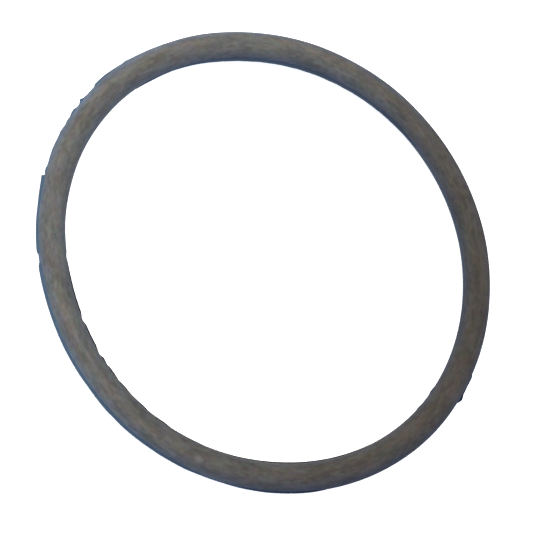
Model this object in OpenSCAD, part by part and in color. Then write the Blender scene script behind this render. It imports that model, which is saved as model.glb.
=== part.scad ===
// O-ring: one moulded rubber ring of round section, lying flat.
// Origin: the ring's centre, in the mid-plane of its section. +Z is the ring's axis.
// Angles are in degrees from +X, anticlockwise as seen from above.

/* [Ring] */
// Inside diameter of the relaxed ring
inside_d = 80; // [60:0.5:110]
// Diameter of the round rubber section
section_d = 5.3; // [4:0.1:7]

/* [Parting line] */
// Height of the trimmed ridge that the mould's joint leaves all round, inside and outside
ridge_h = 0.05; // [0.02:0.01:0.1]
// Width of ridge on each side of the flash
ridge_shoulder = 0.06; // [0.04:0.01:0.15]

/* [Flash] */
// Height above the ridge of flash that was never torn back
flash_h = 0.6; // [0.3:0.05:1]
// Thickness of the flash
flash_t = 0.18; // [0.1:0.02:0.3]
// Largest angle between two points along a torn edge
torn_step = 1; // [0.5:0.25:2]

/* [Hidden] */
$fn = 180;

section_r = section_d / 2;
// Radius of the circle that the section's centre runs on
centre_r = inside_d / 2 + section_r;
// Full width of the parting ridge
ridge_w = flash_t + 2 * ridge_shoulder;
// Depth to which ridge and flash reach into the rubber
root_depth = section_d / 9;

// The two sides of the section: away from the axis and towards it
OUTSIDE = 1;
INSIDE = -1;

// What is left of the flash. Each strip is a list of points along its torn edge:
// [angle, share of flash_h that still stands there], in order of angle.

// One blunt tag on the right, then a low shelf
right_tag = [[11.4, 0.2], [12.6, 0.88], [14.2, 0.36], [17, 0.28], [18.8, 0.38], [19.8, 0.2]];
// The film on the left: it grows slowly, hooks once, and ends at a tear
left_film = [
    [163, 0.05], [169, 0.06], [173.4, 0.12], [174.6, 0.32], [175.8, 0.1],
    [178.5, 0.22], [181.5, 0.45], [184.6, 0.44], [185.2, 0.18]
];
// The two sharp tags past that tear, and two worn ones
sharp_tag = [[188.6, 0.04], [189.6, 0.25], [190.2, 0.8], [190.7, 0.3], [191.3, 0.04]];
broad_tag = [[192.6, 0.08], [193.4, 0.5], [194.2, 0.42], [195.4, 0.1]];
worn_tags = [[198.4, 0.04], [199.6, 0.16], [202, 0.04], [204.8, 0.14], [207.5, 0.05]];
// The long film: it stands highest where it begins and thins along its length
long_film = [
    [211.8, 0.4], [212.3, 0.92], [213.4, 0.78], [216, 0.62], [220, 0.42],
    [224, 0.44], [228, 0.5], [230.6, 0.56], [231.6, 0.3]
];
// The wavy film along the front
wavy_film = [
    [233.6, 0.3], [234.6, 0.56], [240, 0.57], [246, 0.46], [252, 0.44], [258, 0.46], [262, 0.54],
    [264.4, 0.46], [268, 0.58], [271.6, 0.68], [274, 0.54], [277.6, 0.57], [283, 0.5], [288, 0.42],
    [294, 0.36], [298, 0.1]
];
// The low, even film on the lower right
even_film = [[304, 0.1], [308, 0.24], [314, 0.38], [319, 0.34], [325, 0.32], [329, 0.1]];

outer_flash = [
    right_tag, left_film, sharp_tag, broad_tag, worn_tags, long_film, wavy_film, even_film
];

// The smooth film inside, along the back
back_film = [
    [86, 0.3], [92, 0.7], [100, 0.87], [106, 0.9], [114, 0.94], [122, 1], [130, 0.98],
    [138, 0.93], [146, 0.9], [152, 0.76], [158, 0.46], [164, 0.24], [172, 0.36], [177, 0.14]
];
// The film inside that runs round the left and the front, with a bite at each dip
bitten_film = [
    [206, 0.04], [214, 0.08], [222, 0.12], [228, 0.26], [230.6, 0.36], [232.2, 0.1], [233.8, 0.4],
    [238, 0.62], [244, 0.66], [247.6, 0.72], [249.7, 0.1], [251.4, 0.78], [255, 0.76], [257.2, 0.8],
    [260, 0.15], [261.3, 0.8], [262, 0.74], [263.4, 0.45], [264.2, 0.78], [266.4, 0.72],
    [268.4, 0.4], [269.8, 0.66], [271.4, 0.68], [273.4, 0.5], [277.6, 0.74], [279.2, 0.46],
    [284.6, 0.7], [286.8, 0.38], [291, 0.36], [294.6, 0.36], [297, 0.28], [300, 0.34], [305, 0.4],
    [310, 0.44], [318, 0.46], [325, 0.4], [332, 0.3], [338, 0.22], [345, 0.07]
];
// Two small tags inside, on the right
inner_tags = [
    [[2.4, 0.06], [3.2, 0.16], [5, 0.05]],
    [[8.4, 0.05], [9.4, 0.26], [10.6, 0.18], [11.4, 0.05]]
];

inner_flash = concat([back_film, bitten_film], inner_tags);

function polar(radius, angle) = [radius * cos(angle), radius * sin(angle)];

// Radius at a height above the rubber, on either side of the section
function at_height(side, height) = centre_r + side * (section_r + height);

// Angles along a strip: its own points, and even steps between them
function strip_angles(strip) = [
    for (i = [0 : len(strip) - 2])
        let (from = strip[i][0], to = strip[i + 1][0], steps = ceil((to - from) / torn_step))
            for (k = [0 : steps - 1]) from + k * (to - from) / steps,
    strip[len(strip) - 1][0]
];

// Outline of a strip seen from above: along its torn edge, and back through its root
function strip_outline(strip, side) =
    let (
        angles = strip_angles(strip),
        last = len(angles) - 1,
        root_r = at_height(side, -root_depth)
    )
        concat(
            [for (a = angles) polar(at_height(side, ridge_h + flash_h * lookup(a, strip)), a)],
            [for (i = [last : -1 : 0]) polar(root_r, angles[i])]
        );

// The rubber itself
module section_ring() {
    rotate_extrude()
        translate([centre_r, 0])
            circle(r = section_r);
}

// The trimmed ridge that runs all round one side
module parting_ridge(side) {
    middle_h = (ridge_h - root_depth) / 2;
    rotate_extrude()
        translate([at_height(side, middle_h), 0])
            square([ridge_h + root_depth, ridge_w], center = true);
}

// The strips of torn flash on one side
module torn_flash(strips, side) {
    for (strip = strips)
        linear_extrude(height = flash_t, center = true)
            polygon(strip_outline(strip, side));
}

module o_ring() {
    color("#6a6560")
        union() {
            section_ring();
            parting_ridge(OUTSIDE);
            parting_ridge(INSIDE);
            torn_flash(outer_flash, OUTSIDE);
            torn_flash(inner_flash, INSIDE);
        }
}

o_ring();
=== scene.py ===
# %% [markdown]
# # A rubber o-ring with its torn moulding flash
# An o-ring is one closed rubber cord of round section. It is moulded between two plates that meet at
# mid-height, and where they meet a hair of rubber squeezes out: the flash. On this ring it was torn off by
# hand, so a low ridge runs all round, and ragged strips of film still stand on it, outside and inside. Dust
# lies on the upper side and thins out down the flanks. The left side is painted lighter, partly with more
# dust and partly with the light that falls from the left.
#
# The solid model already holds the ring's true size and the outline of every strip. This lesson loads it as
# a fixed frame, measures it, and models a finer ring in the same place, with a film that thins and waves and
# a skin of dusty rubber.

import math

import bmesh
import bpy
from mathutils import Matrix, Vector, noise


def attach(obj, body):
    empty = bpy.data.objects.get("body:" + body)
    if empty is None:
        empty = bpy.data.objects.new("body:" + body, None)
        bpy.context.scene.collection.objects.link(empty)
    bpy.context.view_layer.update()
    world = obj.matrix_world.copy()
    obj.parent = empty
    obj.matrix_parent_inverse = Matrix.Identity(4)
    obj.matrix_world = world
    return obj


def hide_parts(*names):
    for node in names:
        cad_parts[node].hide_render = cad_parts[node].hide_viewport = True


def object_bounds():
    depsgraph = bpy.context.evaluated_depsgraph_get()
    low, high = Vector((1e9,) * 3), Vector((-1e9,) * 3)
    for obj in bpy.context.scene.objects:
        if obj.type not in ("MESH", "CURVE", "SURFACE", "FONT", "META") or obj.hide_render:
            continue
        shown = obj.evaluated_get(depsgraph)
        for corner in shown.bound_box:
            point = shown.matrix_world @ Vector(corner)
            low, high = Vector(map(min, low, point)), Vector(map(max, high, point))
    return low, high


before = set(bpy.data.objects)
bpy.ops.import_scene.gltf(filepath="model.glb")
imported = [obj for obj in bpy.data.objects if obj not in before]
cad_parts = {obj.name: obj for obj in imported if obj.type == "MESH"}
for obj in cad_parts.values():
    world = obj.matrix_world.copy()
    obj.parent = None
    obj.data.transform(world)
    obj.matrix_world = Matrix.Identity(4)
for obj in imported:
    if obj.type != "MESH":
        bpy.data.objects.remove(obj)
cad_low, cad_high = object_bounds()
cad_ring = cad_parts["o_ring"]

MM = 0.001
print("solid model, mm:", [round(side / MM, 2) for side in cad_high - cad_low])

# %% [markdown]
# The ring's two driving sizes can be measured on the frame. Its height is the diameter of the round section.
# A ray that leaves the centre and meets the inner wall where no flash stands gives the inside radius. The
# same kind of ray will later find the torn edge of the film at any angle, from inside and from outside.

# %% Measure the ring with rays
section_r = (cad_high.z - cad_low.z) / 2
floor_z = cad_low.z


def direction(angle):
    """The unit vector at a ring angle in degrees: 0 is +X, and it grows anticlockwise from above."""
    return Vector((math.cos(math.radians(angle)), math.sin(math.radians(angle)), 0))


def wall_radius(angle, outside, height=0.0):
    """How far from the axis a level ray meets the solid model, coming from outside it or from the centre."""
    start = direction(angle) * (2 * cad_high.x if outside else 0)
    start.z = height
    _, place, _, _ = cad_ring.ray_cast(start, direction(angle) * (-1 if outside else 1))
    return place.xy.length


BARE_ANGLE = 60
over_ridge = 0.2 * MM
inside_r = wall_radius(BARE_ANGLE, False, over_ridge) - over_ridge**2 / (2 * section_r)
centre_r = inside_r + section_r
print("inside diameter", round(2 * inside_r / MM, 2), "mm, section", round(2 * section_r / MM, 2), "mm")

# %% [markdown]
# ## The view
# The camera comes first, because every later choice is judged through it. It looks down on the ring from
# 62 degrees above the floor, through a long lens, and it is rolled about its own line of sight, which turns
# the far side of the ring to the upper right. The rotation is two turns in one product: tilt, then roll.

# %% Set the camera
IMAGE_SIDE = 533
camera_distance = 0.4551
camera_elevation = math.radians(62.19)
camera_roll = math.radians(48.61)
FOCAL_PIXELS = 2426.1
CENTRE_PIXEL = (269.60, 255.16)

lens = bpy.data.cameras.new("view")
lens.sensor_width = 36
lens.lens = FOCAL_PIXELS / IMAGE_SIDE * lens.sensor_width
lens.shift_x = -(CENTRE_PIXEL[0] - (IMAGE_SIDE - 1) / 2) / IMAGE_SIDE
lens.shift_y = (CENTRE_PIXEL[1] - (IMAGE_SIDE - 1) / 2) / IMAGE_SIDE
lens.clip_start = 0.01
lens.clip_end = 20
camera = bpy.data.objects.new("view", lens)
bpy.context.scene.collection.objects.link(camera)
tilt = Matrix.Rotation(math.pi / 2 - camera_elevation, 4, "X")
roll = Matrix.Rotation(camera_roll, 4, "Z")
back = Vector((0, -math.cos(camera_elevation), math.sin(camera_elevation)))
camera.matrix_world = Matrix.Translation(back * camera_distance) @ tilt @ roll
bpy.context.scene.camera = camera
print("lens", round(lens.lens, 1), "mm")

# %% [markdown]
# ## The table and the light
# The ring lies on a plain white table. The light is soft and comes from three sides: a pale bluish sky all
# round, which a World colour gives, a warm panel overhead, and a cool one low on the left, like a window.
# The photo has no shadow at all, and a ring that lies on plain paper would always have one. So the table is
# lit from below as well, like the glass of a light table: a weak white Emission lifts it to full white even
# beside the ring. The colours are shown as they are, with the Standard view, because a film-like view would
# lift the dark rubber.


# %% Lay the table and hang the lights
def deselect_all():
    """Nothing selected and nothing in edit mode, so that the next operator touches only what it makes."""
    if bpy.context.object and bpy.context.object.mode != "OBJECT":
        bpy.ops.object.mode_set(mode="OBJECT")
    bpy.ops.object.select_all(action="DESELECT")


def hang_panel(name, place, size, energy, colour):
    """A round soft light that faces the ring and stays out of the picture itself."""
    light = bpy.data.lights.new(name, "AREA")
    light.shape = "DISK"
    light.size = size
    light.energy = energy
    light.color = colour
    panel = bpy.data.objects.new(name, light)
    bpy.context.scene.collection.objects.link(panel)
    panel.matrix_world = Matrix.Translation(place) @ (-place).to_track_quat("-Z", "Y").to_matrix().to_4x4()
    panel.visible_camera = False


TABLE_SIDE = 6.0
TABLE_WHITE = (0.9, 0.9, 0.9, 1)
TABLE_ROUGHNESS = 0.9
TABLE_GLOW = 0.75
deselect_all()
bpy.ops.mesh.primitive_plane_add(size=TABLE_SIDE, location=(0, 0, floor_z))
table = bpy.context.object
table.name = "table"
bpy.ops.object.transform_apply(location=True)
white = bpy.data.materials.new("white_table")
white.use_nodes = True
table_inputs = white.node_tree.nodes["Principled BSDF"].inputs
table_inputs["Base Color"].default_value = TABLE_WHITE
table_inputs["Roughness"].default_value = TABLE_ROUGHNESS
table_inputs["Emission Color"].default_value = (1, 1, 1, 1)
table_inputs["Emission Strength"].default_value = TABLE_GLOW
table.data.materials.append(white)

SKY_COLOUR = (0.70, 0.86, 1.15, 1)
WARM_LIGHT = (1.0, 0.73, 0.29)
COOL_LIGHT = (0.80, 0.92, 1.0)
PANEL_SIZE = 0.6
sky = bpy.data.worlds.new("sky")
sky.use_nodes = True
sky.node_tree.nodes["Background"].inputs["Color"].default_value = SKY_COLOUR
bpy.context.scene.world = sky
hang_panel("overhead", Vector((-0.15, -0.02, 0.47)), PANEL_SIZE, 2.45, WARM_LIGHT)
hang_panel("window", Vector((-0.85, 0, 0.31)), PANEL_SIZE, 3.4, COOL_LIGHT)

bpy.context.scene.view_settings.view_transform = "Standard"
print("lights:", [light.name for light in bpy.data.lights])

# %% [markdown]
# ## The rubber cord
# The section is a circle, so the cord could be a torus primitive. A spun circle is better here, because its
# points can be arranged first. Turned by half a step, the circle has one short upright edge on the outer
# equator and one on the inner, and after the spin these edges are two even bands of faces. The ridge and the
# film grow from those bands.
#
# Spin gets slow when it makes more than a few hundred steps in one go. So it first sweeps one arc of the
# ring, and then turns copies of that arc all the way round, which Merge by Distance joins.


# %% Spin the section into a ring
SECTION_POINTS = 48
STATIONS = 1200
ARCS = 12
SAME_PLACE = 0.01 * MM
ridge_width = 0.30 * MM


def select_where(mesh_object, wanted):
    """Selects the vertices for which wanted(place) is true, and nothing else."""
    mesh = bmesh.from_edit_mesh(mesh_object.data)
    mesh.select_mode = {"VERT"}
    for vertex in mesh.verts:
        vertex.select = wanted(vertex.co)
    mesh.select_flush_mode()
    bmesh.update_edit_mesh(mesh_object.data)


deselect_all()
bpy.ops.mesh.primitive_circle_add(
    vertices=SECTION_POINTS, radius=section_r, location=(centre_r, 0, 0), rotation=(math.pi / 2, 0, 0)
)
ring = bpy.context.object
ring.name = "rubber_ring"
bpy.ops.object.transform_apply(location=True, rotation=True)
bpy.ops.object.mode_set(mode="EDIT")
section_centre = (centre_r, 0, 0)
bpy.ops.transform.rotate(value=math.pi / SECTION_POINTS, orient_axis="Y", center_override=section_centre)
half_edge = section_r * math.sin(math.pi / SECTION_POINTS)
just_above = 1.1 * half_edge
select_where(ring, lambda place: abs(place.z) < just_above)
bpy.ops.transform.resize(value=(1, 1, ridge_width / 2 / half_edge), center_override=section_centre)
arc = 2 * math.pi / ARCS
bpy.ops.mesh.select_all(action="SELECT")
bpy.ops.mesh.spin(steps=STATIONS // ARCS, angle=arc, center=(0, 0, 0), axis=(0, 0, 1))
bpy.ops.mesh.select_all(action="SELECT")
bpy.ops.mesh.spin(
    steps=ARCS - 1, angle=2 * math.pi - arc, dupli=True, center=(0, 0, 0), axis=(0, 0, 1)
)
bpy.ops.mesh.select_all(action="SELECT")
bpy.ops.mesh.remove_doubles(threshold=SAME_PLACE)
bpy.ops.mesh.normals_make_consistent(inside=False)
bpy.ops.object.mode_set(mode="OBJECT")
print("cord:", len(ring.data.vertices), "points,", len(ring.data.polygons), "faces")

# %% [markdown]
# ## The parting ridge and the film
# Each band is grown in four steps, and a step is always the same: extrude the band, then scale it. Scaled in
# the level plane it moves outwards (or inwards, on the inner side), and scaled in height it gets narrower.
# The steps are the ridge, the narrow ledge on top of it, and two rows of the film.


# %% Grow the two bands
RIDGE_HEIGHT = 0.05 * MM
LEDGE_RISE = 0.002 * MM
ROW_STEP = 0.02 * MM
ridge_top = 0.9 * ridge_width
film_root = 0.18 * MM
film_middle = 0.8 * film_root
film_edge = 0.11 * MM
band_height = section_r * math.cos(math.pi / SECTION_POINTS)


def select_band(outside):
    """Selects the upright faces on the outer or the inner equator."""
    mesh = bmesh.from_edit_mesh(ring.data)
    mesh.select_mode = {"FACE"}
    for face in mesh.faces:
        middle = face.calc_center_median()
        outward = middle.xy.length > centre_r
        face.select = abs(middle.z) < SAME_PLACE and outward == outside
    mesh.select_flush_mode()
    bmesh.update_edit_mesh(ring.data)


def grow(radius, rise, width, new_width):
    """Extrudes the selected band from a radius by a rise, and narrows it."""
    bpy.ops.mesh.extrude_region_move()
    level = (radius + rise) / radius
    bpy.ops.transform.resize(value=(level, level, new_width / width), center_override=(0, 0, 0))
    return radius + rise


bpy.ops.object.mode_set(mode="EDIT")
for side in (1, -1):
    select_band(side > 0)
    radius = grow(centre_r + side * band_height, side * RIDGE_HEIGHT, ridge_width, ridge_top)
    radius = grow(radius, side * LEDGE_RISE, ridge_top, film_root)
    radius = grow(radius, side * ROW_STEP, film_root, film_middle)
    radius = grow(radius, side * ROW_STEP, film_middle, film_edge)
bpy.ops.object.mode_set(mode="OBJECT")
print("with ridge and film:", len(ring.data.polygons), "faces")

# %% [markdown]
# Now the torn edge. Each of its stations stands at its own height, so an operator for each would mean
# thousands of calls, and one loop over the vertices is the plain way. The height comes from a ray to the
# solid model, so both models agree. A tear isn't smooth: a little noise roughens it, and it also lets the
# film wave up and down, more where it stands high. Noise is read at a place on the ring, so it closes on
# itself after a full turn.
#
# Two things differ from the solid. Three stretches of it, each with its two ends and a shift in degrees,
# are read a little late or early: so the blunt tag on the right stands further round, and the long film on
# the left starts with a square corner. And three worn stubs on the left, each with its ring angle, its
# height and its half width in degrees, are too low to be in the solid, so they are added.

# %% Tear the film
EDGE_RAGGED = 0.035 * MM
EDGE_WAVES = 900
EDGE_SEED = 3
LOW_FILM = 0.3 * MM
FILM_WAVE = 0.09 * MM
FILM_WAVES = 110
FILM_SEED = 8
TALL_FILM = 0.6 * MM
LEAST_FILM = 0.012 * MM
STUBS = [(196.5, 0.16 * MM, 1.2), (200.1, 0.21 * MM, 0.5), (210.5, 0.20 * MM, 1.2)]
LATE_STRETCHES = [(10, 21, 0.45), (211.6, 211.95, 0.3), (211.95, 212.3, -0.25)]


def ring_noise(angle, waves, seed):
    """Smooth noise from about -1 to 1 that repeats after a full turn, with about that many waves in it."""
    return noise.noise(direction(angle) * waves / 4 + Vector((0, 0, seed)))


def film_height(angle, side):
    """Height of the film above the bare cord at a ring angle."""
    late = 0
    if side > 0:
        late = sum(shift for first, last, shift in LATE_STRETCHES if first < angle % 360 < last)
    radius = wall_radius(angle - late, side > 0)
    height = side * (radius - centre_r) - section_r
    if side > 0:
        for middle, stub_height, half_width in STUBS:
            slope = 1 - abs(angle % 360 - middle) / half_width
            height = max(height, stub_height * min(1, 2 * slope))
    ragged = EDGE_RAGGED * ring_noise(angle, EDGE_WAVES, EDGE_SEED + side) * min(1, height / LOW_FILM)
    return max(height + ragged, RIDGE_HEIGHT + LEAST_FILM)


film_heights = {}
for vertex in ring.data.vertices:
    rho = vertex.co.xy.length
    side = 1 if rho > centre_r else -1
    above_ridge = side * (rho - centre_r) - band_height - RIDGE_HEIGHT
    row = round(above_ridge / ROW_STEP)
    if row > 0:
        angle = math.degrees(math.atan2(vertex.co.y, vertex.co.x))
        key = (side, round(angle * STATIONS / 360))
        if key not in film_heights:
            film_heights[key] = film_height(angle, side)
        height = film_heights[key]
        stand = RIDGE_HEIGHT + row / 2 * (height - RIDGE_HEIGHT)
        vertex.co.xy = direction(angle).xy * (centre_r + side * (section_r + stand))
        wave = FILM_WAVE * ring_noise(angle, FILM_WAVES, FILM_SEED + side)
        vertex.co.z += row / 2 * wave * height / TALL_FILM
tallest = max(film_heights.values())
print("film stands up to", round(tallest / MM, 2), "mm high at", len(film_heights), "stations")

# %% [markdown]
# A relaxed rubber ring is never quite round, nor quite even. In the photo this one strays by up to 0.4 mm:
# out on the left, in at the lower left, and a little elsewhere. From the left round to the front it is also
# up to 7 percent thinner. Proportional editing does both. One section is selected, moved along its radius
# and, where the ring is thin, shrunk towards its foot, so that it still lies on the table. Its neighbours
# follow with a smooth falloff. The nudges stand a fixed step apart and reach exactly one step, so together
# they make one smooth line.

# %% Nudge the ring out of round
NUDGE_STEP = 20
NUDGES = {
    0: 0.03, 20: -0.08, 40: -0.08, 60: 0.06, 80: 0.13, 100: 0.185, 120: 0.03, 140: -0.13, 160: 0.04,
    180: 0.33, 200: 0.18, 220: -0.12, 240: -0.38, 260: -0.19, 280: 0.08, 300: 0.10,
}
THINNER = {200: 0.98, 220: 0.955, 240: 0.935, 260: 0.93, 280: 0.94, 300: 0.985}
nudge_reach = 2 * centre_r * math.sin(math.radians(NUDGE_STEP) / 2)
half_station = centre_r * math.sin(math.radians(180 / STATIONS))
bpy.ops.object.mode_set(mode="EDIT")
for angle, outward in NUDGES.items():
    radial = direction(angle)
    across = radial.cross(Vector((0, 0, 1)))
    select_where(ring, lambda place: abs(place.dot(across)) < half_station and place.dot(radial) > 0)
    bpy.ops.transform.translate(
        value=radial * outward * MM,
        use_proportional_edit=True,
        proportional_edit_falloff="SMOOTH",
        proportional_size=nudge_reach,
    )
    if angle in THINNER:
        foot = radial * centre_r + Vector((0, 0, floor_z))
        bpy.ops.transform.resize(
            value=(THINNER[angle],) * 3,
            center_override=foot,
            use_proportional_edit=True,
            proportional_edit_falloff="SMOOTH",
            proportional_size=nudge_reach,
        )
bpy.ops.object.mode_set(mode="OBJECT")
print(len(NUDGES), "nudges that reach", round(nudge_reach / MM, 1), "mm")

# %% [markdown]
# The shading is smooth over the cord and breaks only at the sharp edges of the ridge and the film, so it is
# set by angle.

# %% Shade the ring
SHARPEST_SMOOTH = 35
deselect_all()
ring.select_set(True)
bpy.context.view_layer.objects.active = ring
bpy.ops.object.shade_smooth_by_angle(angle=math.radians(SHARPEST_SMOOTH))
print("edges left sharp:", sum(edge.use_edge_sharp for edge in ring.data.edges))


# %% [markdown]
# ## Writing shader maths
# A node tree that is wired by hand in code is hard to read. The class below wraps one output socket and
# takes Python's operators, so that `1 - mask` makes its Math node by itself. Every other node comes from one
# method, which takes the node's type, its settings and the values or links of its sockets.


# %% A socket that takes operators
class Wire:
    """One output socket of a material's node tree."""

    def __init__(self, finish, socket):
        self.finish = finish
        self.socket = socket

    def math(self, operation, first, second):
        return self.finish.add("ShaderNodeMath", {"operation": operation}, {0: first, 1: second})

    def __add__(self, other):
        return self.math("ADD", self, other)

    def __radd__(self, other):
        return self.math("ADD", other, self)

    def __sub__(self, other):
        return self.math("SUBTRACT", self, other)

    def __rsub__(self, other):
        return self.math("SUBTRACT", other, self)

    def __mul__(self, other):
        return self.math("MULTIPLY", self, other)

    def __rmul__(self, other):
        return self.math("MULTIPLY", other, self)

    def __truediv__(self, other):
        return self.math("DIVIDE", self, other)

    def __pow__(self, other):
        return self.math("POWER", self, other)

    def __abs__(self):
        return self.math("ABSOLUTE", self, 0)


class Finish:
    """A material and its node tree."""

    def __init__(self, name):
        self.material = bpy.data.materials.new(name)
        self.material.use_nodes = True
        self.tree = self.material.node_tree
        self.shader = self.tree.nodes["Principled BSDF"]

    def add(self, kind, settings, sockets, output=0):
        """Adds a node, settings first, then values or links, and gives one of its outputs as a Wire."""
        node = self.tree.nodes.new(kind)
        for name, value in settings.items():
            setattr(node, name, value)
        for name, value in sockets.items():
            self.feed(node.inputs[name], value)
        return Wire(self, node.outputs[output])

    def feed(self, socket, value):
        """A link if the value is a Wire, or else the socket's own value."""
        if isinstance(value, Wire):
            self.tree.links.new(value.socket, socket)
        else:
            socket.default_value = value

    def step(self, value, low, high):
        """0 below low, 1 above high, and a smooth rise between them."""
        sockets = {"Value": value, "From Min": low, "From Max": high}
        return self.add("ShaderNodeMapRange", {"interpolation_type": "SMOOTHSTEP"}, sockets)

    def mix(self, share, first, second, blend="MIX"):
        """The first colour where share is 0 and, as a plain mix, the second where it is 1."""
        settings = {"data_type": "RGBA", "blend_type": blend}
        return self.add("ShaderNodeMix", settings, {0: share, 6: first, 7: second}, 2)


print("operators ready")

# %% [markdown]
# ## Dusty rubber
# The clean rubber is black and matt, and it shows on the flanks and on the torn film, which is too thin and
# too young to hold dust. Its blue there is painted: it stands for the blue sky that the flanks reflect. The
# bloom of dust on the upper side is a warm grey. It is cloudy: patches six millimetres long and two wide,
# drawn out along the ring by handling, with flecks of about a millimetre among them, and faint tints that lie
# in clouds of their own.
#
# A pattern that follows the ring has to close after a full turn, and so has one that goes round the section.
# Four coordinates do both: the sine and cosine of the ring angle and of the section angle. Noise Texture in
# 4D takes them as its Vector and its W.

# %% Ring coordinates for the material
rubber = Finish("dusty_rubber")
place = rubber.add("ShaderNodeTexCoord", {}, {}, "Object")
x, y, z = [rubber.add("ShaderNodeSeparateXYZ", {}, {0: place}, axis) for axis in "XYZ"]
distance = (x * x + y * y) ** 0.5
cos_ring = x / distance
sin_ring = y / distance
out = (distance - centre_r) / section_r
up = z / section_r


def clouds(length, width, detail, seed):
    """Noise from 0 to 1 in patches of that length along the ring and that width round the section."""
    along = centre_r / length
    across = section_r / width
    vector = rubber.add(
        "ShaderNodeCombineXYZ", {}, {0: cos_ring * along + seed, 1: sin_ring * along, 2: out * across}
    )
    sockets = {"Vector": vector, "W": up * across + seed, "Scale": 1.0, "Detail": detail, "Roughness": 0.55}
    return rubber.add("ShaderNodeTexNoise", {"noise_dimensions": "4D"}, sockets)


patches = clouds(6.5 * MM, 1.8 * MM, 3.0, 1.7)
flecks = clouds(1.3 * MM, 0.6 * MM, 3.0, 5.1)
warmth = clouds(2.6 * MM, 1.2 * MM, 4.0, 3.3)
green = clouds(1.7 * MM, 1.1 * MM, 2.0, 7.9)
grain = clouds(0.22 * MM, 0.22 * MM, 2.0, 9.3)
print("five kinds of cloud")

# %% [markdown]
# Three tones lie above each other. Below the parting line the rubber is bare, and far down it is painted
# black, as the shade where the cord turns under towards the table. Just above the line a thin haze of dust
# greys it, and from there the full bloom grows up to the crest. One tone gives way to the next between two
# heights, counted in radii of the section.
#
# Two drifts are mixed in. Along the ring, the left is lighter than the right: it has more dust, and it is
# painted lit by the light from the left, which lifts even the bare rubber there. Across it, the outer flank
# is bluer than the inner one, as a painted reflection of the blue sky, and the inner one is brown on the
# right side. So every tone has a pair of colours for each flank, and a pair holds the right side and the
# lit, dustier left side.

# %% Mix the dust over the rubber
# Painted reflection: the blue of the bare and hazy flanks, bluest on the outer flank, is the blue sky.
OUTER_BARE = ((0.005, 0.008, 0.023, 1), (0.070, 0.105, 0.152, 1))
INNER_BARE = ((0.010, 0.008, 0.010, 1), (0.068, 0.090, 0.125, 1))
OUTER_HAZE = ((0.010, 0.016, 0.036, 1), (0.080, 0.091, 0.103, 1))
INNER_HAZE = ((0.015, 0.010, 0.009, 1), (0.057, 0.069, 0.091, 1))
OUTER_DUST = ((0.061, 0.057, 0.056, 1), (0.098, 0.092, 0.084, 1))
INNER_DUST = ((0.038, 0.030, 0.018, 1), (0.090, 0.094, 0.092, 1))
# Painted shade: the underside, where the cord turns under towards the table, is nearly black.
SHADED_UNDERSIDE = (0.008, 0.011, 0.022, 1)
SHADE_TO_BARE = (-0.75, -0.35)
BARE_TO_HAZE = (0.0, 0.35)
HAZE_TO_DUST = (0.2, 1.1)
# Painted light and dust: the side that light falls on from the left, which also has more dust.
LIT_AND_DUSTY_SIDE = direction(203)


def facing(side):
    """1 where the ring lies in that direction from its centre, -1 where it lies opposite."""
    return cos_ring * side.x + sin_ring * side.y


# Painted light: the left side is lighter, partly from more dust and partly as lit from the left.
lit_and_dusty_side = rubber.step(facing(LIT_AND_DUSTY_SIDE) * (1 + 0.6 * out), -1.4, 1.0)
outer_share = rubber.step(out, -1, 1)


def drift(inner, outer):
    """A colour that drifts leftwards into painted light and dust, and from the inner to the outer flank."""
    return rubber.mix(outer_share, rubber.mix(lit_and_dusty_side, *inner), rubber.mix(lit_and_dusty_side, *outer))


cover = rubber.step(up, *HAZE_TO_DUST)
bare = rubber.mix(rubber.step(up, *SHADE_TO_BARE), SHADED_UNDERSIDE, drift(INNER_BARE, OUTER_BARE))
hazy = rubber.mix(rubber.step(up, *BARE_TO_HAZE), bare, drift(INNER_HAZE, OUTER_HAZE))
cord = rubber.mix(cover, hazy, drift(INNER_DUST, OUTER_DUST))
print("dust over bare rubber")

# %% [markdown]
# The clouds make this skin a little lighter and darker, and tint it: one kind from bluish to brownish, one
# from purplish to olive. Each is a pair of colours near white that multiplies the skin.
#
# Three wide soft areas follow, each a stretch along the ring times a stretch across the section. The back is
# lighter on its crest and inner side. The outer shoulder at the back left, where the skin turns down to the
# flank, is painted bluer, as a blue rim light from the back left. And a warm painted highlight runs along
# the front, just outside the crest, where the warm light from overhead falls.

# %% Cloud the skin
DARK_TO_LIGHT = ((0.71, 0.71, 0.71, 1), (1.29, 1.29, 1.29, 1))
BLUISH_TO_BROWNISH = ((0.94, 0.99, 1.06, 1), (1.07, 1.00, 0.94, 1))
PURPLISH_TO_OLIVE = ((1.04, 0.96, 1.03, 1), (0.96, 1.04, 0.95, 1))
UNCHANGED = (1, 1, 1, 1)
# Lighter on the crest and inner side at the back.
BACK_LIGHTER = (1.30, 1.30, 1.30, 1)
BACK = direction(120)
# Painted light: a blue rim light on the outer shoulder at the back left.
PAINTED_BLUE_RIM = (0.89, 1.01, 1.22, 1)
BACK_LEFT = direction(145)
# Painted highlight: warm light from overhead along the front, just outside the crest.
WARM_HIGHLIGHT = (1.32, 1.24, 1.13, 1)
FRONT = direction(262)
HIGHLIGHT_MIDDLE = 0.33

cloudy = patches * 0.5 + flecks * 0.5
shade = rubber.mix(rubber.step(cloudy, 0.3, 0.7), *DARK_TO_LIGHT)
warm = rubber.mix(rubber.step(warmth, 0.3, 0.7), *BLUISH_TO_BROWNISH)
olive = rubber.mix(rubber.step(green, 0.3, 0.7), *PURPLISH_TO_OLIVE)
inner_back = rubber.step(facing(BACK), 0.72, 1.0) * (1 - rubber.step(out, -0.5, 0.6))
lightened_back = rubber.mix(inner_back, UNCHANGED, BACK_LIGHTER)
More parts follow.
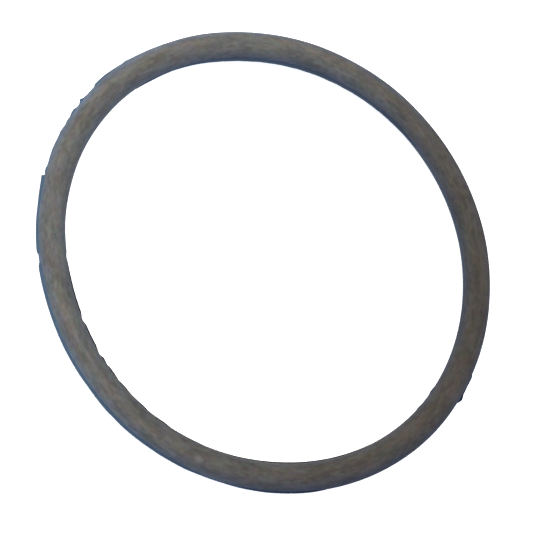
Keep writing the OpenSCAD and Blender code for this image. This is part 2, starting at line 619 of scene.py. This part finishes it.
# Painted blue rim light on the outer shoulder at the back left.
back_left = rubber.step(facing(BACK_LEFT), 0.3, 0.75)
shoulder = rubber.step(out + 0.33 * sin_ring, 0.4, 0.9) * back_left
cool = rubber.mix(shoulder, UNCHANGED, PAINTED_BLUE_RIM)
# Painted highlight along the front, where the dust cover is.
painted_highlight = rubber.step(facing(FRONT), 0.72, 0.98) * (1 - rubber.step(abs(out - HIGHLIGHT_MIDDLE), 0.05, 0.45))
pale = rubber.mix(painted_highlight * cover, UNCHANGED, WARM_HIGHLIGHT)
for layer in (shade, warm, olive, lightened_back, cool, pale):
    cord = rubber.mix(1.0, cord, layer, "MULTIPLY")
print("six layers over the skin")

# %% [markdown]
# The film is thin and was torn last, so no dust hides the dark rubber. Its blue is a painted reflection of
# the blue sky, it is painted lighter on the left, where light falls from the left, and it is dark grey where
# it was bitten away inside the front. Film and ridge lie within a quarter of a millimetre of the parting
# line, and height alone finds them. Where the ring is thinner the line lies a little lower, and the film
# there takes part of the bare flank's tone, which is close to its own.
#
# Two small marks are left: a pale patch on the front of the crest and a dark speck on the left. Each is a
# spot, the place within some distance of a point on the skin, and noise frays its border. It is given by a
# ring angle, a tilt from the level in degrees, and a size.

# %% Bare film and two marks
# Painted reflection and light: the film's blue is the blue sky, lighter on the left where light falls.
OUTER_FILM = ((0.010, 0.016, 0.036, 1), (0.059, 0.099, 0.157, 1))
INNER_FILM = ((0.008, 0.010, 0.022, 1), (0.055, 0.085, 0.140, 1))
FILM_BITTEN = (0.024, 0.027, 0.034, 1)
FILM_BAND = (0.05, 0.075)
PALE_PATCH = (0.152, 0.145, 0.146, 1)
PATCH_PLACE = (295.5, 66, 1.3 * MM)
DARK_SPECK = (0.042, 0.030, 0.027, 1)
SPECK_PLACE = (227.6, 87, 0.7 * MM)
CLEAN_ROUGHNESS = 0.72
DUST_ROUGHENS = 0.2
LOW_GLOSS = 0.1
GRAIN_HEIGHT = 0.03 * MM


def spot(angle, tilt, size):
    """1 inside a frayed spot on the skin, and 0 outside it."""
    rim = centre_r + section_r * math.cos(math.radians(tilt))
    centre = direction(angle) * rim + Vector((0, 0, section_r * math.sin(math.radians(tilt))))
    away = rubber.add("ShaderNodeVectorMath", {"operation": "DISTANCE"}, {0: place, 1: centre}, "Value")
    return 1 - rubber.step(away / size + (flecks - 0.5) * 2, 0.1, 0.9)


inner_front = (1 - rubber.step(out, -0.2, 0.2)) * (1 - rubber.step(sin_ring, -0.3, 0.3))
film = rubber.mix(inner_front, drift(INNER_FILM, OUTER_FILM), FILM_BITTEN)
skin = rubber.mix(rubber.step(abs(up), *FILM_BAND), film, cord)
skin = rubber.mix(spot(*PATCH_PLACE) * 0.5, skin, PALE_PATCH)
skin = rubber.mix(spot(*SPECK_PLACE) * 0.7, skin, DARK_SPECK)

rubber.feed(rubber.shader.inputs["Base Color"], skin)
rubber.feed(rubber.shader.inputs["Roughness"], CLEAN_ROUGHNESS + cover * DUST_ROUGHENS)
rubber.shader.inputs["Specular IOR Level"].default_value = LOW_GLOSS
bump = rubber.add(
    "ShaderNodeBump", {}, {"Strength": 0.5, "Distance": GRAIN_HEIGHT, "Height": grain}, "Normal"
)
rubber.feed(rubber.shader.inputs["Normal"], bump)

ring.data.materials.clear()
ring.data.materials.append(rubber.material)
print(len(rubber.tree.nodes), "nodes in the rubber")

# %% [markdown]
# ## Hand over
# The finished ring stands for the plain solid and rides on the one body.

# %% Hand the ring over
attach(ring, "root")
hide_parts("o_ring")
